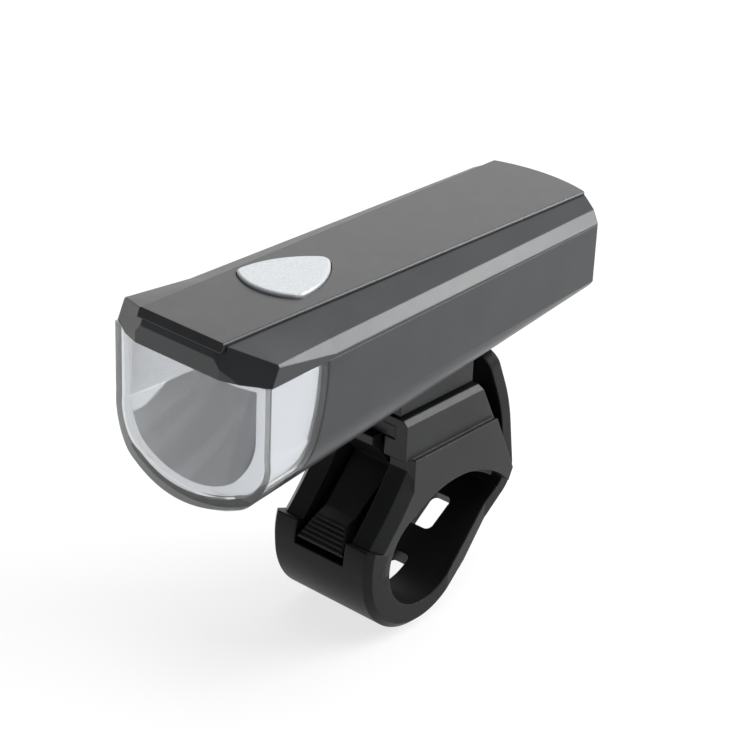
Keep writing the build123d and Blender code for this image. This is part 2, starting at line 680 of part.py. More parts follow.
with BuildPart() as charging_socket:
    socket_front = REAR_Y - HOUSING_WALL - FIT_GAP
    with BuildSketch(across(socket_front)):
        with Locations((0, port_z)):
            RectangleRounded(2 * PORT_HALF_WIDTH, 2 * PORT_HALF_HEIGHT, PORT_HALF_HEIGHT - PORT_WALL / 2)
            RectangleRounded(2 * (PORT_HALF_WIDTH - PORT_WALL), 2 * (PORT_HALF_HEIGHT - PORT_WALL),
                             PORT_HALF_HEIGHT - 2 * PORT_WALL, mode=Mode.SUBTRACT)
    extrude(amount=PORT_LENGTH)
    with BuildSketch(across(socket_front - PORT_LENGTH)):
        with Locations((0, port_z)):
            RectangleRounded(2 * PORT_HALF_WIDTH, 2 * PORT_HALF_HEIGHT, PORT_HALF_HEIGHT - PORT_WALL / 2)
    extrude(amount=PORT_WALL)
    with BuildSketch(across(socket_front - 2 * PORT_HALF_HEIGHT)):
        with Locations((0, port_z)):
            Rectangle(2 * (PORT_HALF_WIDTH - PORT_HALF_HEIGHT), 2 * PORT_WALL)
    extrude(amount=PORT_LENGTH - 2 * PORT_HALF_HEIGHT)
charging_socket.part.label = "charging_socket"
export_step(charging_socket.part, "parts/charging_socket.step")

# Port cover: a soft flap in the rear wall, hinged along its lower edge, with a shallow plug.
PLUG_DEPTH = 1.1
PLUG_HALF_WIDTH = 3.8
PLUG_HALF_HEIGHT = 1.0
PULL_TAB_HALF = 1.6
flap_high = flap_low + FLAP_HEIGHT
with BuildPart() as port_cover:
    with BuildSketch(across(REAR_Y)):
        with Locations((0, port_z)):
            RectangleRounded(2 * FLAP_HALF_WIDTH, FLAP_HEIGHT, FLAP_ROUND)
    extrude(amount=FLAP_THICKNESS)
    extrude(tail_plan(), amount=-BELLY_DROP_FRONT, mode=Mode.INTERSECT)
    with BuildSketch(across(REAR_Y - FLAP_THICKNESS)):
        with Locations((0, port_z)):
            RectangleRounded(2 * PLUG_HALF_WIDTH, 2 * PLUG_HALF_HEIGHT, PLUG_HALF_HEIGHT - FIT_GAP)
    extrude(amount=PLUG_DEPTH)
    with BuildSketch(across(REAR_Y)):
        with Locations((0, flap_high)):
            Circle(PULL_TAB_HALF)
    extrude(amount=FLAP_THICKNESS / 2, mode=Mode.SUBTRACT)
port_cover.part.label = "port_cover"
export_step(port_cover.part, "parts/port_cover.step")

# Battery: two cells side by side on a cradle, joined by nickel tabs.
CELL_RADIUS = 7.0
CELL_LENGTH = 43.0
CELL_NUB_RADIUS = 2.8
CELL_NUB_LENGTH = 0.9
CELL_FRONT_BACK = 28.0
CELL_TOP_GAP = 0.4
CELL_SPACING_HALF = 7.2
CELL_EDGE = 0.6
TAB_THICKNESS = 0.3
TAB_HEIGHT = 6.0
CRADLE_LIFT = 2.2

cell_z = board_bottom - CELL_TOP_GAP - CELL_RADIUS
cell_front = back(CELL_FRONT_BACK)
cell_rear = cell_front + CELL_LENGTH
with BuildPart() as battery_cells:
    for cell_x in (-CELL_SPACING_HALF, CELL_SPACING_HALF):
        with BuildSketch(across(cell_rear)):
            with Locations((cell_x, cell_z)):
                Circle(CELL_RADIUS)
        extrude(amount=CELL_LENGTH)
    chamfer(battery_cells.edges().filter_by(GeomType.CIRCLE), length=CELL_EDGE)
    for cell_x in (-CELL_SPACING_HALF, CELL_SPACING_HALF):
        with BuildSketch(across(cell_front)):
            with Locations((cell_x, cell_z)):
                Circle(CELL_NUB_RADIUS)
        extrude(amount=CELL_NUB_LENGTH)
battery_cells.part.label = "battery_cells"
export_step(battery_cells.part, "parts/battery_cells.step")

with BuildPart() as battery_tabs:
    for tab_y in (cell_front - CELL_NUB_LENGTH, cell_rear + TAB_THICKNESS):
        with BuildSketch(across(tab_y)):
            with Locations((0, cell_z)):
                RectangleRounded(2 * (CELL_SPACING_HALF + CELL_NUB_RADIUS), TAB_HEIGHT, TAB_HEIGHT / 3)
        extrude(amount=TAB_THICKNESS)
battery_tabs.part.label = "battery_tabs"
export_step(battery_tabs.part, "parts/battery_tabs.step")

with BuildPart() as battery_cradle:
    add(hull_block(HOUSING_WALL + FIT_GAP, cell_front, cell_rear, cell_z - CRADLE_LIFT))
    for cell_x in (-CELL_SPACING_HALF, CELL_SPACING_HALF):
        with BuildSketch(across(cell_rear + CUT_OVER)):
            with Locations((cell_x, cell_z)):
                Circle(CELL_RADIUS + FIT_GAP)
        extrude(amount=CELL_LENGTH + 2 * CUT_OVER, mode=Mode.SUBTRACT)
    with BuildSketch(Plane.XY.offset(cell_z)):
        with Locations(*shoe_screw_points):
            Circle(BOSS_RADIUS + INNER_GAP)
    extrude(amount=-BELLY_DROP_FRONT, mode=Mode.SUBTRACT)
battery_cradle.part.label = "battery_cradle"
export_step(battery_cradle.part, "parts/battery_cradle.step")


def screw(head_face, length, head_height=SCREW_HEAD_HEIGHT, points_up=True):
    """Pan head screw at the current location, its head's seat at z and its shank upwards."""
    direction = 1 if points_up else -1
    with BuildPart() as body:
        with BuildSketch(Plane.XY.offset(head_face)):
            Circle(SCREW_HEAD_RADIUS)
        extrude(amount=-direction * head_height)
        with BuildSketch(Plane.XY.offset(head_face)):
            Circle(SCREW_RADIUS)
        extrude(amount=direction * length)
    return body.part


# Cover screws: four, up through the housing's posts into the cover.
with BuildPart() as cover_screws:
    for screw_x, screw_y in cover_screw_points:
        with Locations((screw_x, screw_y, 0)):
            add(screw(cover_screw_z, COVER_SCREW_LENGTH - FIT_GAP))
cover_screws.part.label = "cover_screws"
export_step(cover_screws.part, "parts/cover_screws.step")

# Board screws: four, down through the board into the housing's posts.
BOARD_SCREW_LENGTH = 6.0
BOARD_SCREW_HEAD_HEIGHT = 0.8
with BuildPart() as board_screws:
    for screw_x, screw_y in post_points:
        with Locations((screw_x, screw_y, 0)):
            add(screw(board_top, BOARD_SCREW_LENGTH, BOARD_SCREW_HEAD_HEIGHT, points_up=False))
board_screws.part.label = "board_screws"
export_step(board_screws.part, "parts/board_screws.step")

# Mounting shoe: a T-shaped slide that follows the housing's underside, held by two screws.
shoe_middle = (SHOE_FRONT + SHOE_REAR) / 2
shoe_length = SHOE_REAR - SHOE_FRONT
with BuildPart() as mounting_shoe:
    for bottom, top, half in (
        (SHOE_BOTTOM, FOOT_TOP, FOOT_HALF),
        (FOOT_TOP, SOLE_BOTTOM, NECK_HALF),
        (SOLE_BOTTOM, cell_z, SOLE_HALF),
    ):
        with BuildSketch(Plane.XY.offset(bottom)):
            with Locations((0, shoe_middle)):
                Rectangle(2 * half, shoe_length)
        extrude(amount=top - bottom)
    add(hull_block(0, FRONT_Y, REAR_Y), mode=Mode.SUBTRACT)
    with BuildSketch(Plane.XY.offset(SHOE_BOTTOM)):
        with Locations(*shoe_screw_points):
            Circle(SCREW_HOLE_RADIUS)
    extrude(amount=BELLY_DROP_FRONT, mode=Mode.SUBTRACT)
    with BuildSketch(Plane.XY.offset(SHOE_BOTTOM)):
        with Locations(*shoe_screw_points):
            Circle(SCREW_HEAD_RADIUS + INNER_GAP)
    extrude(amount=SHOE_COUNTERBORE, mode=Mode.SUBTRACT)
mounting_shoe.part.label = "mounting_shoe"
export_step(mounting_shoe.part, "parts/mounting_shoe.step")

with BuildPart() as shoe_screws:
    for screw_x, screw_y in shoe_screw_points:
        with Locations((screw_x, screw_y, 0)):
            add(screw(SHOE_BOTTOM + SHOE_COUNTERBORE, SHOE_SCREW_LENGTH))
shoe_screws.part.label = "shoe_screws"
export_step(shoe_screws.part, "parts/shoe_screws.step")

# Bracket: a cradle for the shoe over a saddle that bridges the handlebar.
BRACKET_HALF = 12.4
SADDLE_HALF = 13.4
CRADLE_FRONT = -6.6
CRADLE_REAR = 16.8
CRADLE_TOP = 32.4
CRADLE_BOTTOM = 23.4
CRADLE_EDGE = 1.1
LEDGE_REAR = 21.4
TIP_Y = 28.0
TIP_Z = 9.4
TIP_LOW_Y = 26.8
TIP_LOW_Z = 6.8
NECK_FRONT = -4.6
NECK_FOOT_Z = 20.4
BROW_Y = -8.2
BROW_Z = 14.9
ARM_WALL = 1.6
ARM_TOP_ANGLE = 158
ARM_SHOULDER_HEIGHT = 3.9
ARM_EDGE = 2.2
ARCH_RADIUS = 23.6
ARCH_Y = 9.3
ARCH_Z = -9.2
SLOT_HALF = 6.7
SLOT_LOW = 3.0
SLOT_REAR = 3.4
SLOT_FLOOR = 0.9
SLIDE_GAP = 0.15


def polar(radius, angle):
    """Point of the side view at this radius from the bar's axis, its angle taken from +Y."""
    return (radius * cos(radians(angle)), radius * sin(radians(angle)))


bar_distance = hypot(ARCH_Y, ARCH_Z)
along = (BAR_RADIUS**2 - ARCH_RADIUS**2 + bar_distance**2) / (2 * bar_distance)
aside = sqrt(BAR_RADIUS**2 - along**2)
arch_start_y = (along * ARCH_Y - aside * ARCH_Z) / bar_distance
arch_start_z = (along * ARCH_Z + aside * ARCH_Y) / bar_distance
arm_outer = BAR_RADIUS + ARM_WALL
HOOK_HALF = 2.6
HOOK_LOW = 15.6
HOOK_HIGH = 18.6
HOOK_REACH = 31.4
HOOK_LIP = 1.2
HOOK_LIP_RISE = 1.0
PIVOT_Y = 0.5
PIVOT_Z = 15.4
PIN_RADIUS = 0.9
PIN_HALF = 9.0
PIN_GAP = 0.05

# Cutter for the release lever's slot, from the arm up into the cradle, with a thin floor left
with BuildPart() as lever_slot:
    slot_front = -arm_outer - CUT_OVER
    with BuildSketch(Plane.XY.offset(SLOT_LOW)):
        with Locations((0, (slot_front + SLOT_REAR) / 2)):
            Rectangle(2 * SLOT_HALF, SLOT_REAR - slot_front)
    extrude(amount=SHOE_BOTTOM - SLOT_LOW)
    with BuildSketch(Plane.YZ):
        Circle(BAR_RADIUS + SLOT_FLOOR)
        with Locations((ARCH_Y, ARCH_Z)):
            Circle(ARCH_RADIUS + SLOT_FLOOR)
    extrude(amount=SLOT_HALF + CUT_OVER, both=True, mode=Mode.SUBTRACT)

with BuildPart() as bracket_body:
    with BuildSketch(Plane.YZ):
        with BuildLine():
            Polyline((CRADLE_FRONT, CRADLE_TOP), (CRADLE_REAR, CRADLE_TOP), (LEDGE_REAR, CRADLE_BOTTOM),
                     (CRADLE_FRONT, CRADLE_BOTTOM), close=True)
        make_face()
    extrude(amount=BRACKET_HALF, both=True)
    long_edges = bracket_body.edges().filter_by(Axis.Y).group_by(Axis.Z)[-1]
    chamfer(long_edges, length=CRADLE_EDGE)
    with BuildSketch(Plane.YZ):
        with BuildLine():
            Polyline((NECK_FRONT, NECK_FOOT_Z), (NECK_FRONT, CRADLE_BOTTOM), (LEDGE_REAR, CRADLE_BOTTOM),
                     (TIP_Y, TIP_Z), (TIP_LOW_Y, TIP_LOW_Z), (0, 0), (-arm_outer, 0))
            ThreePointArc((-arm_outer, 0), polar(arm_outer, (ARM_TOP_ANGLE + 180) / 2),
                          polar(arm_outer, ARM_TOP_ANGLE))
            Line(polar(arm_outer, ARM_TOP_ANGLE), polar(arm_outer + ARM_SHOULDER_HEIGHT, ARM_TOP_ANGLE))
            ThreePointArc(polar(arm_outer + ARM_SHOULDER_HEIGHT, ARM_TOP_ANGLE), (BROW_Y, BROW_Z),
                          (NECK_FRONT, NECK_FOOT_Z))
        make_face()
    extrude(amount=SADDLE_HALF, both=True)
    brow_edges = bracket_body.edges().filter_by(GeomType.CIRCLE).filter_by(
        lambda edge: hypot((edge @ 0.5).Y, (edge @ 0.5).Z) > arm_outer + FIT_GAP)
    chamfer(brow_edges, length=ARM_EDGE)
    with BuildSketch(Plane.YZ):
        Circle(BAR_RADIUS)
    extrude(amount=SADDLE_HALF + CUT_OVER, both=True, mode=Mode.SUBTRACT)
    with BuildSketch(Plane.YZ):
        with Locations((ARCH_Y, ARCH_Z)):
            Circle(ARCH_RADIUS)
        with Locations((arch_start_y + ARCH_RADIUS, arch_start_z - ARCH_RADIUS)):
            Rectangle(2 * ARCH_RADIUS, 4 * ARCH_RADIUS, mode=Mode.INTERSECT)
    extrude(amount=SADDLE_HALF + CUT_OVER, both=True, mode=Mode.SUBTRACT)
    # T-slot of the cradle, open at the front and closed by a stop at the rear
    channel_front = CRADLE_FRONT - CUT_OVER
    channel_rear = SHOE_REAR + SLIDE_GAP
    for low, high, half in (
        (SHOE_BOTTOM - SLIDE_GAP, FOOT_TOP + SLIDE_GAP, FOOT_HALF + SLIDE_GAP),
        (FOOT_TOP, CRADLE_TOP + CUT_OVER, NECK_HALF + SLIDE_GAP),
    ):
        with BuildSketch(Plane.XY.offset(low)):
            with Locations((0, (channel_front + channel_rear) / 2)):
                Rectangle(2 * half, channel_rear - channel_front)
        extrude(amount=high - low, mode=Mode.SUBTRACT)
    add(lever_slot.part, mode=Mode.SUBTRACT)
    with BuildSketch(Plane.YZ):
        with Locations((PIVOT_Y, PIVOT_Z)):
            Circle(PIN_RADIUS + PIN_GAP)
    extrude(amount=PIN_HALF, both=True, mode=Mode.SUBTRACT)
    # Hook behind the saddle, for the strap's holes
    with BuildSketch(Plane.YZ):
        with BuildLine():
            Polyline((LEDGE_REAR, HOOK_LOW), (HOOK_REACH, HOOK_LOW),
                     (HOOK_REACH, HOOK_HIGH + HOOK_LIP_RISE),
                     (HOOK_REACH - HOOK_LIP, HOOK_HIGH + HOOK_LIP_RISE),
                     (HOOK_REACH - HOOK_LIP - HOOK_LIP_RISE, HOOK_HIGH), (LEDGE_REAR, HOOK_HIGH),
                     close=True)
        make_face()
    extrude(amount=HOOK_HALF, both=True)
bracket_body.part.label = "bracket_body"
export_step(bracket_body.part, "parts/bracket_body.step")

# Saddle pad: a thin rubber lining of the arch.
PAD_THICKNESS = 1.1
PAD_HALF = 11.5
PAD_FRONT_ANGLE = 103
PAD_SWEEP_ANGLE = 50
with BuildPart() as saddle_pad:
    pad_rear_angle = PAD_FRONT_ANGLE - PAD_SWEEP_ANGLE
    with BuildSketch(Plane.YZ):
        with BuildLine():
            outer_arc = CenterArc((ARCH_Y, ARCH_Z), ARCH_RADIUS, pad_rear_angle, PAD_SWEEP_ANGLE)
            inner_arc = CenterArc((ARCH_Y, ARCH_Z), ARCH_RADIUS - PAD_THICKNESS, pad_rear_angle,
                                  PAD_SWEEP_ANGLE)
            Line(outer_arc @ 0, inner_arc @ 0)
            Line(outer_arc @ 1, inner_arc @ 1)
        make_face()
    extrude(amount=PAD_HALF, both=True)
saddle_pad.part.label = "saddle_pad"
export_step(saddle_pad.part, "parts/saddle_pad.step")

# Lever pin: a plain steel pin across the bracket's slot.
with BuildPart() as lever_pin:
    with BuildSketch(Plane.YZ):
        with Locations((PIVOT_Y, PIVOT_Z)):
            Circle(PIN_RADIUS)
    extrude(amount=PIN_HALF, both=True)
lever_pin.part.label = "lever_pin"
export_step(lever_pin.part, "parts/lever_pin.step")

# Release lever: a latch finger above its pivot, a tongue below it and a ribbed thumb pad.
LEVER_HALF = 5.2
PAD_TOP_HALF = 3.9
PAD_FOOT_HALF = 6.4
BARREL_RADIUS = 1.5
TONGUE_TOP = (-1.5, 18.0)
TONGUE_FOOT = (-11.4, 9.3)
THUMB_TOP = (-13.9, 8.4)
THUMB_FOOT = (-17.4, 3.4)
THUMB_UNDER = (-15.2, 3.4)
BACK_LOW = (-12.4, 6.6)
BACK_MIDDLE = (-9.2, 9.6)
BACK_HIGH = (-1.2, 14.1)
FINGER_BACK_FOOT = (1.6, 16.4)
FINGER_BACK_TOP = (-5.6, 25.2)
LATCH_REAR = (-5.2, 27.3)
LATCH_FRONT = (-8.6, 27.3)
LATCH_CHIN = (-8.6, 25.4)
RIB_COUNT = 6
RIB_SHARE = 0.5
RIB_RISE = 0.35
with BuildPart() as release_lever:
    with BuildSketch(Plane.YZ):
        with BuildLine():
            Polyline(TONGUE_TOP, TONGUE_FOOT, THUMB_TOP, THUMB_FOOT, THUMB_UNDER, BACK_LOW, BACK_MIDDLE,
                     BACK_HIGH, (PIVOT_Y, PIVOT_Z), FINGER_BACK_FOOT, FINGER_BACK_TOP, LATCH_REAR,
                     LATCH_FRONT, LATCH_CHIN, close=True)
        make_face()
        with Locations((PIVOT_Y, PIVOT_Z)):
            Circle(BARREL_RADIUS)
    extrude(amount=PAD_FOOT_HALF, both=True)
    thumb_rise = hypot(THUMB_TOP[0] - THUMB_FOOT[0], THUMB_TOP[1] - THUMB_FOOT[1])
    thumb_plane = Plane(
        origin=(0, (THUMB_TOP[0] + THUMB_FOOT[0]) / 2, (THUMB_TOP[1] + THUMB_FOOT[1]) / 2),
        x_dir=(1, 0, 0),
        z_dir=(0, THUMB_FOOT[1] - THUMB_TOP[1], THUMB_TOP[0] - THUMB_FOOT[0]),
    )
    with BuildSketch(thumb_plane):
        with GridLocations(0, thumb_rise / RIB_COUNT, 1, RIB_COUNT):
            Rectangle(2 * PAD_FOOT_HALF, thumb_rise / RIB_COUNT * RIB_SHARE)
    extrude(amount=RIB_RISE, both=True)
    # Front view: a narrow tongue that widens at the thumb pad
    with BuildSketch(Plane.XZ):
        with BuildLine():
            Polyline((LEVER_HALF, LATCH_REAR[1]), (LEVER_HALF, TONGUE_TOP[1]),
                     (PAD_TOP_HALF, THUMB_TOP[1]), (PAD_FOOT_HALF, THUMB_FOOT[1] - RIB_RISE),
                     (-PAD_FOOT_HALF, THUMB_FOOT[1] - RIB_RISE), (-PAD_TOP_HALF, THUMB_TOP[1]),
                     (-LEVER_HALF, TONGUE_TOP[1]), (-LEVER_HALF, LATCH_REAR[1]), close=True)
        make_face()
    extrude(amount=CUT_OVER - THUMB_FOOT[0], both=True, mode=Mode.INTERSECT)
    with BuildSketch(Plane.YZ):
        with Locations((PIVOT_Y, PIVOT_Z)):
            Circle(PIN_RADIUS + PIN_GAP)
    extrude(amount=PAD_FOOT_HALF, both=True, mode=Mode.SUBTRACT)
release_lever.part.label = "release_lever"
export_step(release_lever.part, "parts/release_lever.step")

# Rubber strap: it leaves the bracket's arm, passes under the bar and climbs behind the saddle.
STRAP_FRONT_RADIUS = 17.7
STRAP_LOW_RADIUS = 16.7
STRAP_LOW_ANGLE = 240
STRAP_END_THICKNESS = 4.4
TAIL_THICKNESS = 2.8
STRAP_END_ANGLE = 303
STRAP_RUN = 24.6
HEAD_RADIUS = 18.3
HEAD_GAP = 0.05
STRAP_EDGE = 1.3
NOTCH_LOW = 1.8
TAIL_HALF = 10.5
STRAP_NARROW_START_Y = 8.0
STRAP_NARROW_END_Y = 23.0
HOLE_LENGTH = 8.8
HOLE_WIDTH = 6.4
HOLE_ROUND = 1.5
HOLE_PLACES = (-2.3, 13.4)
CORNER_TURN_RADIUS = 4.5
CORNER_TURN_ANGLE = 66
TAIL_LOWER_RUN = 10.0
TAIL_BEND_RADIUS = 40.0
TAIL_BEND_ANGLE = 14
TAIL_UPPER_RUN = 9.5
TAIL_ROUND = 4.0

strap_end_radius = BAR_RADIUS + STRAP_END_THICKNESS
strap_heading = STRAP_END_ANGLE - 270
run_y = cos(radians(strap_heading))
run_z = sin(radians(strap_heading))
turn_y, turn_z = polar(BAR_RADIUS, STRAP_END_ANGLE)
run_end = (turn_y + STRAP_RUN * run_y, turn_z + STRAP_RUN * run_z)
run_end_outer = (run_end[0] + TAIL_THICKNESS * run_z, run_end[1] - TAIL_THICKNESS * run_y)


def hole_plane(place):
    """Plane on the strap's inner face at a distance along it from the end of its round part."""
    if place >= 0:
        point = (turn_y + place * run_y, turn_z + place * run_z)
        inward = (-run_z, run_y)
    else:
        angle = STRAP_END_ANGLE + degrees(place / BAR_RADIUS)
        point = polar(BAR_RADIUS, angle)
        inward = (-cos(radians(angle)), -sin(radians(angle)))
    return Plane(origin=(0, *point), x_dir=(1, 0, 0), z_dir=(0, *inward))


with BuildPart() as strap_band:
    with BuildSketch(Plane.YZ):
        with BuildLine():
            head_inner = arm_outer + HEAD_GAP
            inner_round = CenterArc((0, 0), BAR_RADIUS, 180, STRAP_END_ANGLE - 180)
            Line(inner_round @ 1, run_end)
            Line(run_end, run_end_outer)
            Line(run_end_outer, polar(strap_end_radius, STRAP_END_ANGLE))
            ThreePointArc(polar(strap_end_radius, STRAP_END_ANGLE),
                          polar(STRAP_LOW_RADIUS, STRAP_LOW_ANGLE), (-STRAP_FRONT_RADIUS, 0))
            ThreePointArc((-STRAP_FRONT_RADIUS, 0),
                          polar((STRAP_FRONT_RADIUS + HEAD_RADIUS) / 2, (ARM_TOP_ANGLE + 180) / 2),
                          polar(HEAD_RADIUS, ARM_TOP_ANGLE))
            Line(polar(HEAD_RADIUS, ARM_TOP_ANGLE), polar(head_inner, ARM_TOP_ANGLE))
            CenterArc((0, 0), head_inner, ARM_TOP_ANGLE, 180 - ARM_TOP_ANGLE)
            Line((-head_inner, 0), (-BAR_RADIUS, 0))
        make_face()
    extrude(amount=SADDLE_HALF, both=True)
    rim_edges = strap_band.edges().filter_by(GeomType.CIRCLE).filter_by(
        lambda edge: hypot((edge @ 0.5).Y, (edge @ 0.5).Z) > arm_outer + HEAD_GAP + FIT_GAP)
    chamfer(rim_edges, length=STRAP_EDGE)
    with BuildSketch(Plane.XY.offset(-HEAD_RADIUS - CUT_OVER)):
        with BuildLine():
            Polyline((SADDLE_HALF, -HEAD_RADIUS), (SADDLE_HALF, STRAP_NARROW_START_Y),
                     (TAIL_HALF, STRAP_NARROW_END_Y), (TAIL_HALF, HOOK_REACH), (-TAIL_HALF, HOOK_REACH),
                     (-TAIL_HALF, STRAP_NARROW_END_Y), (-SADDLE_HALF, STRAP_NARROW_START_Y),
                     (-SADDLE_HALF, -HEAD_RADIUS), close=True)
        make_face()
    extrude(amount=2 * (HEAD_RADIUS + CUT_OVER), mode=Mode.INTERSECT)
    for place in HOLE_PLACES:
        with BuildSketch(hole_plane(place)):
            RectangleRounded(HOLE_WIDTH, HOLE_LENGTH, HOLE_ROUND)
        extrude(amount=STRAP_END_THICKNESS + CUT_OVER / 2, both=True, mode=Mode.SUBTRACT)
    # Notch in the strap's head for the lever's thumb pad
    with BuildSketch(Plane.XY.offset(NOTCH_LOW)):
        with Locations((0, -HEAD_RADIUS)):
            Rectangle(2 * SLOT_HALF, HEAD_RADIUS)
    extrude(amount=HEAD_RADIUS, mode=Mode.SUBTRACT)
strap_band.part.label = "strap_band"
export_step(strap_band.part, "parts/strap_band.step")

with BuildPart() as strap_tail:
    with BuildSketch(Plane.YZ):
        with BuildLine():
            inner_turn = JernArc(run_end, (run_y, run_z), CORNER_TURN_RADIUS, CORNER_TURN_ANGLE)
            inner_run = Line(inner_turn @ 1, inner_turn @ 1 + (inner_turn % 1) * TAIL_LOWER_RUN)
            inner_bend = JernArc(inner_run @ 1, inner_run % 1, TAIL_BEND_RADIUS, TAIL_BEND_ANGLE)
            inner_end = Line(inner_bend @ 1, inner_bend @ 1 + (inner_bend % 1) * TAIL_UPPER_RUN)
            outer_turn = JernArc(run_end_outer, (run_y, run_z), CORNER_TURN_RADIUS + TAIL_THICKNESS,
                                 CORNER_TURN_ANGLE)
            outer_run = Line(outer_turn @ 1, outer_turn @ 1 + (outer_turn % 1) * TAIL_LOWER_RUN)
            outer_bend = JernArc(outer_run @ 1, outer_run % 1, TAIL_BEND_RADIUS + TAIL_THICKNESS,
                                 TAIL_BEND_ANGLE)
            outer_end = Line(outer_bend @ 1, outer_bend @ 1 + (outer_bend % 1) * TAIL_UPPER_RUN)
            Line(run_end, run_end_outer)
            Line(inner_end @ 1, outer_end @ 1)
        make_face()
    extrude(amount=TAIL_HALF, both=True)
    tail_end = strap_tail.faces().sort_by(Axis.Z)[-1]
    fillet(tail_end.edges().filter_by(Axis.X, reverse=True), radius=TAIL_ROUND)
    hole_middle = (HOOK_LOW + HOOK_HIGH + HOOK_LIP_RISE) / 2
    with BuildSketch(across(HOOK_REACH + CUT_OVER)):
        with Locations((0, hole_middle)):
            RectangleRounded(HOLE_WIDTH, HOLE_LENGTH, HOLE_ROUND)
    extrude(amount=3 * CUT_OVER, mode=Mode.SUBTRACT)
strap_tail.part.label = "strap_tail"
export_step(strap_tail.part, "parts/strap_tail.step")
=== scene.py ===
from math import cos, pi, radians, sin

import bpy
from mathutils import Matrix, Vector


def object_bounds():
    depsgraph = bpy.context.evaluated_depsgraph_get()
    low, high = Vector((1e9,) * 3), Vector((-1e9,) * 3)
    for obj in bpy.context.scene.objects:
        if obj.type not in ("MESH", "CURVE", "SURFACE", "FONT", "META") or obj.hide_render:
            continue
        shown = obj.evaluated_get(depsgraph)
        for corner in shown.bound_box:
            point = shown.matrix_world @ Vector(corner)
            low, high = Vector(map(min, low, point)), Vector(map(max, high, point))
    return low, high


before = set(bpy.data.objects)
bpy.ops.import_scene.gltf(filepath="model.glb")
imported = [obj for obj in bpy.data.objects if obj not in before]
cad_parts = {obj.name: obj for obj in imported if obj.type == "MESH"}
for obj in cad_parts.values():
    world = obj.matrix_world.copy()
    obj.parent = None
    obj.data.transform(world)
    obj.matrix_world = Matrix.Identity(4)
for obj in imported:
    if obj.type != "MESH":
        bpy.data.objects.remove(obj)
cad_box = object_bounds()

MM = 0.001

# Camera, from the angles and distance that fit the photograph, aimed past a point on the nose
CAMERA_AROUND = 40.2766
CAMERA_UP = 26.7661
CAMERA_ROLL = 2.5031
CAMERA_DISTANCE = 408.6931 * MM
CAMERA_SIDE_SHIFT = 34.559 * MM
CAMERA_RISE_SHIFT = -8.7641 * MM
CAMERA_LENS_MM = 110.115
SENSOR_WIDTH_MM = 36
NOSE_AHEAD = 56.5 * MM
LAMP_RISE = 66.2 * MM

# The lens's rear edge starts this far behind the lamp's foremost point
LENS_EDGE_BACK = 5.6 * MM

# Studio
FLOOR_SIZE = 4.0
FLOOR_GAP = 1.0 * MM
SOFTBOXES = (
    # name, direction from the lamp, distance, width, height, radiance
    ("rear_softbox", (0.58, 0.69, 0.43), 0.8, 0.50, 0.46, 8.5),
    ("top_softbox", (0.10, 0.05, 1.00), 1.0, 0.80, 0.80, 3.0),
    ("left_softbox", (-0.58, 0.68, 0.45), 1.0, 0.60, 0.50, 0.6),
    ("right_fill", (0.86, -0.48, 0.12), 1.2, 0.60, 0.50, 1.2),
)


def linear(hex_colour):
    """Linear RGBA of an sRGB colour written as #rrggbb."""
    channels = [int(hex_colour[i:i + 2], 16) / 255 for i in (1, 3, 5)]
    return (*[c / 12.92 if c <= 0.04045 else ((c + 0.055) / 1.055) ** 2.4 for c in channels], 1.0)


def add_node(tree, kind, inputs=None, **settings):
    """New shader node whose inputs are values or other nodes' outputs."""
    made = tree.nodes.new(kind)
    for name, value in settings.items():
        setattr(made, name, value)
    for name, value in (inputs or {}).items():
        if isinstance(value, bpy.types.NodeSocket):
            tree.links.new(value, made.inputs[name])
        else:
            made.inputs[name].default_value = value
    return made


def new_material(name):
    """Empty node material and its tree."""
    material = bpy.data.materials.new(name)
    material.use_nodes = True
    material.node_tree.nodes.clear()
    return material, material.node_tree


def finish_material(material, tree, shader):
    """Connects the last shader to the material's surface."""
    add_node(tree, "ShaderNodeOutputMaterial", {"Surface": shader.outputs[0]})
    return material


def noise(tree, size, detail=2.0, stretch=(1, 1, 1)):
    """Noise over the object's own coordinates, with features of about this size in metres."""
    place = add_node(tree, "ShaderNodeTexCoord").outputs["Object"]
    stretched = add_node(tree, "ShaderNodeMapping", {"Vector": place, "Scale": stretch})
    made = add_node(tree, "ShaderNodeTexNoise",
                    {"Vector": stretched.outputs["Vector"], "Scale": 1 / size, "Detail": detail})
    return made.outputs["Fac"]


def spread(tree, value, low, high, from_low=0.35, from_high=0.65):
    """A noise value stretched to run from low to high."""
    made = add_node(tree, "ShaderNodeMapRange",
                    {"Value": value, "From Min": from_low, "From Max": from_high,
                     "To Min": low, "To Max": high})
    return made.outputs["Result"]


def bumped(tree, height, depth, edge=0.0, strength=1.0):
    """Normal with a fine relief of this depth and edges rounded by this radius."""
    inputs = {"Height": height, "Distance": depth, "Strength": strength}
    if edge:
        inputs["Normal"] = add_node(tree, "ShaderNodeBevel", {"Radius": edge}, samples=6).outputs["Normal"]
    return add_node(tree, "ShaderNodeBump", inputs).outputs["Normal"]


def moulded(name, colour, worn, roughness, grain, depth, edge, shine=0.5):
    """Moulded plastic or rubber: spark-eroded grain, uneven gloss and softly rounded edges."""
    material, tree = new_material(name)
    cloud = noise(tree, 9 * MM, 3.0)
    tint = add_node(tree, "ShaderNodeMix", {"Factor": spread(tree, cloud, 0.0, 1.0),
                                            "A": linear(colour), "B": linear(worn)}, data_type="RGBA")
    shader = add_node(tree, "ShaderNodeBsdfPrincipled", {
        "Base Color": tint.outputs["Result"],
        "Roughness": spread(tree, noise(tree, 2.5 * MM), roughness - 0.012, roughness + 0.012),
        "Specular IOR Level": shine,
        "Normal": bumped(tree, noise(tree, grain, 3.0), depth, edge),
    })
    return finish_material(material, tree, shader)


def dress(material, *names):
    """Gives the CAD nodes this material."""
    for name in names:
        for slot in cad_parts[name].material_slots:
            slot.material = material


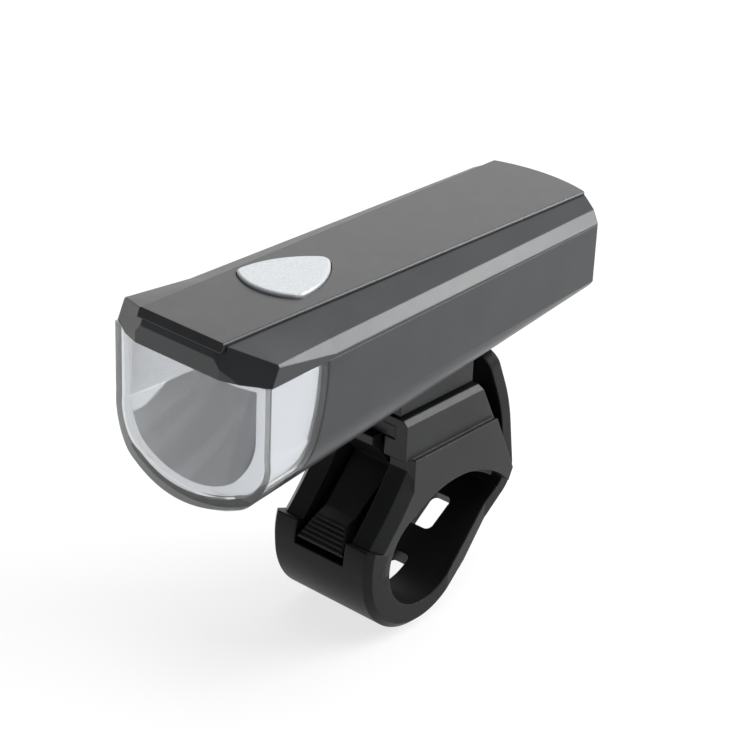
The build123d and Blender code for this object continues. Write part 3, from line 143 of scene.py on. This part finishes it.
# Satin black ABS with a very fine spark-eroded grain
satin_black = moulded("satin_black_abs", "#25272a", "#2a2c2f", 0.34, 0.18 * MM, 0.004 * MM, 0.35 * MM)
# The top panel is the same plastic, polished a little smoother
panel_black = moulded("panel_black_abs", "#222325", "#27282a", 0.30, 0.16 * MM, 0.003 * MM, 0.3 * MM)
# Glass-filled nylon of the bracket and lever
nylon_black = moulded("bracket_black_nylon", "#141517", "#1a1b1d", 0.36, 0.22 * MM, 0.006 * MM,
                      0.4 * MM, shine=0.3)
# Strap rubber with a dry, slightly dusty face
strap_black = moulded("strap_black_rubber", "#0e0e0e", "#151515", 0.44, 0.3 * MM, 0.010 * MM,
                      0.6 * MM, shine=0.18)
# Soft rubber of the gasket, the pad and the port's cover
soft_black = moulded("soft_black_rubber", "#0f0f0f", "#151515", 0.6, 0.3 * MM, 0.008 * MM, 0.2 * MM)
# Plain grey-black plastic of the inner pieces
inner_black = moulded("inner_black_plastic", "#1b1b1c", "#222223", 0.5, 0.3 * MM, 0.006 * MM, 0.2 * MM)


def clear_polycarbonate():
    """Clear lens: polished polycarbonate with a trace of flow lines and of haze."""
    material, tree = new_material("clear_polycarbonate")
    shader = add_node(tree, "ShaderNodeBsdfPrincipled", {
        "Base Color": linear("#fbfcfd"),
        "Roughness": spread(tree, noise(tree, 4 * MM), 0.01, 0.03),
        "IOR": 1.58,
        "Transmission Weight": 1.0,
        "Normal": bumped(tree, noise(tree, 5 * MM, 1.0), 0.003 * MM),
    })
    haze = add_node(tree, "ShaderNodeBsdfTranslucent", {"Color": linear("#f4f6f8")})
    hazed = add_node(tree, "ShaderNodeMixShader", {0: 0.12, 1: shader.outputs[0], 2: haze.outputs[0]})
    return finish_material(material, tree, hazed)


def mirror_chrome():
    """Vacuum-metallised plastic: a bright mirror with faint ripples of the moulding."""
    material, tree = new_material("metallised_reflector")
    shader = add_node(tree, "ShaderNodeBsdfPrincipled", {
        "Base Color": linear("#e9ebee"),
        "Metallic": 1.0,
        "Roughness": spread(tree, noise(tree, 3 * MM), 0.06, 0.09),
        "Normal": bumped(tree, noise(tree, 2.2 * MM, 2.0), 0.02 * MM, 0.2 * MM),
    })
    return finish_material(material, tree, shader)


def metal(name, colour, roughness, stretch):
    """Drawn or rolled metal with fine lines along one direction."""
    material, tree = new_material(name)
    lines = noise(tree, 0.35 * MM, 2.0, stretch)
    shader = add_node(tree, "ShaderNodeBsdfPrincipled", {
        "Base Color": linear(colour),
        "Metallic": 1.0,
        "Roughness": spread(tree, lines, roughness - 0.07, roughness + 0.07),
        "Normal": bumped(tree, lines, 0.004 * MM, 0.12 * MM),
    })
    return finish_material(material, tree, shader)


def button_plastic():
    """Translucent silver-grey button: fine metallic flakes under a satin face."""
    material, tree = new_material("silver_button_plastic")
    flakes = spread(tree, noise(tree, 0.12 * MM, 1.0), 0.0, 1.0, 0.45, 0.62)
    tint = add_node(tree, "ShaderNodeMix", {"Factor": flakes, "A": linear("#b2b6b9"),
                                            "B": linear("#ced1d3")}, data_type="RGBA")
    shader = add_node(tree, "ShaderNodeBsdfPrincipled", {
        "Base Color": tint.outputs["Result"],
        "Metallic": 0.25,
        "Roughness": spread(tree, noise(tree, 1.5 * MM), 0.28, 0.36),
        "Subsurface Weight": 0.25,
        "Subsurface Radius": (1, 1, 1),
        "Subsurface Scale": 0.8 * MM,
        "Normal": bumped(tree, noise(tree, 0.2 * MM), 0.003 * MM, 0.4 * MM),
    })
    return finish_material(material, tree, shader)


def phosphor():
    """Yellow phosphor of a white light source, under clear silicone."""
    material, tree = new_material("led_phosphor")
    shader = add_node(tree, "ShaderNodeBsdfPrincipled", {
        "Base Color": linear("#e6c84a"),
        "Roughness": spread(tree, noise(tree, 0.3 * MM), 0.2, 0.3),
        "Coat Weight": 1.0,
        "Coat Roughness": 0.05,
        "Subsurface Weight": 0.3,
        "Subsurface Radius": (1, 1, 1),
        "Subsurface Scale": 0.4 * MM,
    })
    return finish_material(material, tree, shader)


def glossy_film(name, colour, marks):
    """Solder mask or shrink film: glossy, with a faint pattern under it."""
    material, tree = new_material(name)
    pattern = spread(tree, noise(tree, 1.2 * MM, 0.0, (1, 0.25, 1)), 0.0, 1.0, 0.48, 0.52)
    tint = add_node(tree, "ShaderNodeMix", {"Factor": pattern, "A": linear(colour),
                                            "B": linear(marks)}, data_type="RGBA")
    shader = add_node(tree, "ShaderNodeBsdfPrincipled", {
        "Base Color": tint.outputs["Result"],
        "Roughness": spread(tree, noise(tree, 2 * MM), 0.25, 0.35),
        "Coat Weight": 0.4,
        "Normal": bumped(tree, pattern, 0.01 * MM, 0.15 * MM),
    })
    return finish_material(material, tree, shader)


def seat_lens_edge(sealing):
    """Puts the gasket's colour on the lens's rear edge, which lies on the gasket."""
    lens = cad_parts["front_lens"]
    rear_y = cad_box[0][1] + LENS_EDGE_BACK
    lens.data.materials.append(sealing)
    for polygon in lens.data.polygons:
        if polygon.normal.y > 0.1 and (lens.matrix_world @ polygon.center).y > rear_y:
            polygon.material_index = len(lens.data.materials) - 1


dress(satin_black, "top_cover", "lower_housing")
dress(panel_black, "top_panel")
dress(nylon_black, "bracket_body", "release_lever", "mounting_shoe")
dress(strap_black, "strap_band", "strap_tail")
dress(soft_black, "lens_seal", "saddle_pad", "port_cover")
dress(inner_black, "battery_cradle", "switch_plunger")
dress(clear_polycarbonate(), "front_lens")
dress(mirror_chrome(), "reflector")

seat_lens_edge(soft_black)
dress(button_plastic(), "push_button")
dress(phosphor(), "led_emitter", "indicator_leds")
dress(metal("rolled_aluminium", "#c9cbcd", 0.32, (6, 1, 1)), "led_board", "heat_sink")
dress(metal("plated_steel", "#bfc1c4", 0.25, (1, 6, 1)), "tact_switch", "charging_socket")
dress(metal("nickel_strip", "#c4bfb6", 0.3, (1, 1, 6)), "battery_tabs")
dress(metal("screw_steel", "#a9abae", 0.3, (1, 1, 1)),
      "cover_screws", "board_screws", "shoe_screws", "lever_pin")
dress(glossy_film("green_solder_mask", "#0e4a2b", "#155c37"), "circuit_board")
dress(glossy_film("blue_shrink_sleeve", "#1c3f86", "#204690"), "battery_cells")


def seen_as_background(tree):
    """1 for rays from the camera, and for those a mirror or glass has sent on."""
    path = add_node(tree, "ShaderNodeLightPath")
    polished = add_node(tree, "ShaderNodeMath", {0: path.outputs["Is Glossy Ray"],
                                                 1: path.outputs["Is Transmission Ray"]},
                        operation="MAXIMUM")
    every = add_node(tree, "ShaderNodeMath", {0: polished.outputs[0],
                                              1: path.outputs["Is Camera Ray"]},
                     operation="MAXIMUM")
    return every.outputs[0]


def backdrop():
    """World: white to the camera, and to the object a studio that is darker in front."""
    world = bpy.data.worlds.new("studio")
    bpy.context.scene.world = world
    world.use_nodes = True
    tree = world.node_tree
    tree.nodes.clear()
    direction = add_node(tree, "ShaderNodeTexCoord").outputs["Generated"]
    parts = add_node(tree, "ShaderNodeSeparateXYZ", {"Vector": direction})
    behind = add_node(tree, "ShaderNodeMapRange",
                      {"Value": parts.outputs["Y"], "From Min": -0.15, "From Max": 0.6,
                       "To Min": 0.16, "To Max": 0.95})
    path = add_node(tree, "ShaderNodeLightPath")
    studio = add_node(tree, "ShaderNodeBackground",
                      {"Color": linear("#ffffff"), "Strength": behind.outputs["Result"]})
    white = add_node(tree, "ShaderNodeBackground", {"Color": linear("#ffffff"), "Strength": 1.0})
    mixed = add_node(tree, "ShaderNodeMixShader", {0: path.outputs["Is Camera Ray"],
                                                   1: studio.outputs[0], 2: white.outputs[0]})
    add_node(tree, "ShaderNodeOutputWorld", {"Surface": mixed.outputs[0]})


def floor():
    """Pale floor just under the object, white to the camera but for the object's soft shadow."""
    low_z = cad_box[0][2] - FLOOR_GAP
    mesh = bpy.data.meshes.new("floor")
    half = FLOOR_SIZE / 2
    mesh.from_pydata([(-half, -half, low_z), (half, -half, low_z), (half, half, low_z),
                      (-half, half, low_z)], [], [(0, 1, 2, 3)])
    made = bpy.data.objects.new("floor", mesh)
    bpy.context.scene.collection.objects.link(made)
    material, tree = new_material("white_floor")
    pale = add_node(tree, "ShaderNodeBsdfDiffuse", {"Color": linear("#f4f4f4")})
    glow = add_node(tree, "ShaderNodeEmission", {"Color": linear("#ffffff"), "Strength": 0.74})
    shadowed = add_node(tree, "ShaderNodeBsdfDiffuse", {"Color": (0.26, 0.26, 0.26, 1.0)})
    white = add_node(tree, "ShaderNodeAddShader", {0: glow.outputs[0], 1: shadowed.outputs[0]})
    mixed = add_node(tree, "ShaderNodeMixShader", {0: seen_as_background(tree),
                                                   1: pale.outputs[0], 2: white.outputs[0]})
    made.data.materials.append(finish_material(material, tree, mixed))


def softbox(name, direction, distance, width, height, radiance):
    """Square light that faces the lamp from this direction, as bright as its radiance says."""
    data = bpy.data.lights.new(name, "AREA")
    data.shape = "RECTANGLE"
    data.size = width
    data.size_y = height
    data.energy = radiance * pi * width * height
    made = bpy.data.objects.new(name, data)
    away = Vector(direction).normalized()
    made.location = Vector((0, 0, LAMP_RISE / 2)) + away * distance
    made.rotation_euler = away.to_track_quat("Z", "Y").to_euler()
    bpy.context.scene.collection.objects.link(made)


def photo_camera():
    """Camera at the photograph's own angle and distance."""
    around, up, roll = radians(CAMERA_AROUND), radians(CAMERA_UP), radians(CAMERA_ROLL)
    back = Vector((sin(around) * cos(up), -cos(around) * cos(up), sin(up)))
    level = Vector((cos(around), sin(around), 0))
    upright = back.cross(level)
    across = level * cos(roll) + upright * sin(roll)
    above = upright * cos(roll) - level * sin(roll)
    nose = Vector((0, -NOSE_AHEAD, LAMP_RISE))
    data = bpy.data.cameras.new("photo_camera")
    data.lens = CAMERA_LENS_MM
    data.sensor_width = SENSOR_WIDTH_MM
    data.clip_start = 0.01
    made = bpy.data.objects.new("photo_camera", data)
    place = nose + back * CAMERA_DISTANCE + across * CAMERA_SIDE_SHIFT + above * CAMERA_RISE_SHIFT
    made.matrix_world = Matrix.Translation(place) @ Matrix((across, above, back)).transposed().to_4x4()
    bpy.context.scene.collection.objects.link(made)
    bpy.context.scene.camera = made


backdrop()
floor()
for box in SOFTBOXES:
    softbox(*box)
photo_camera()
bpy.context.scene.view_settings.view_transform = "Standard"
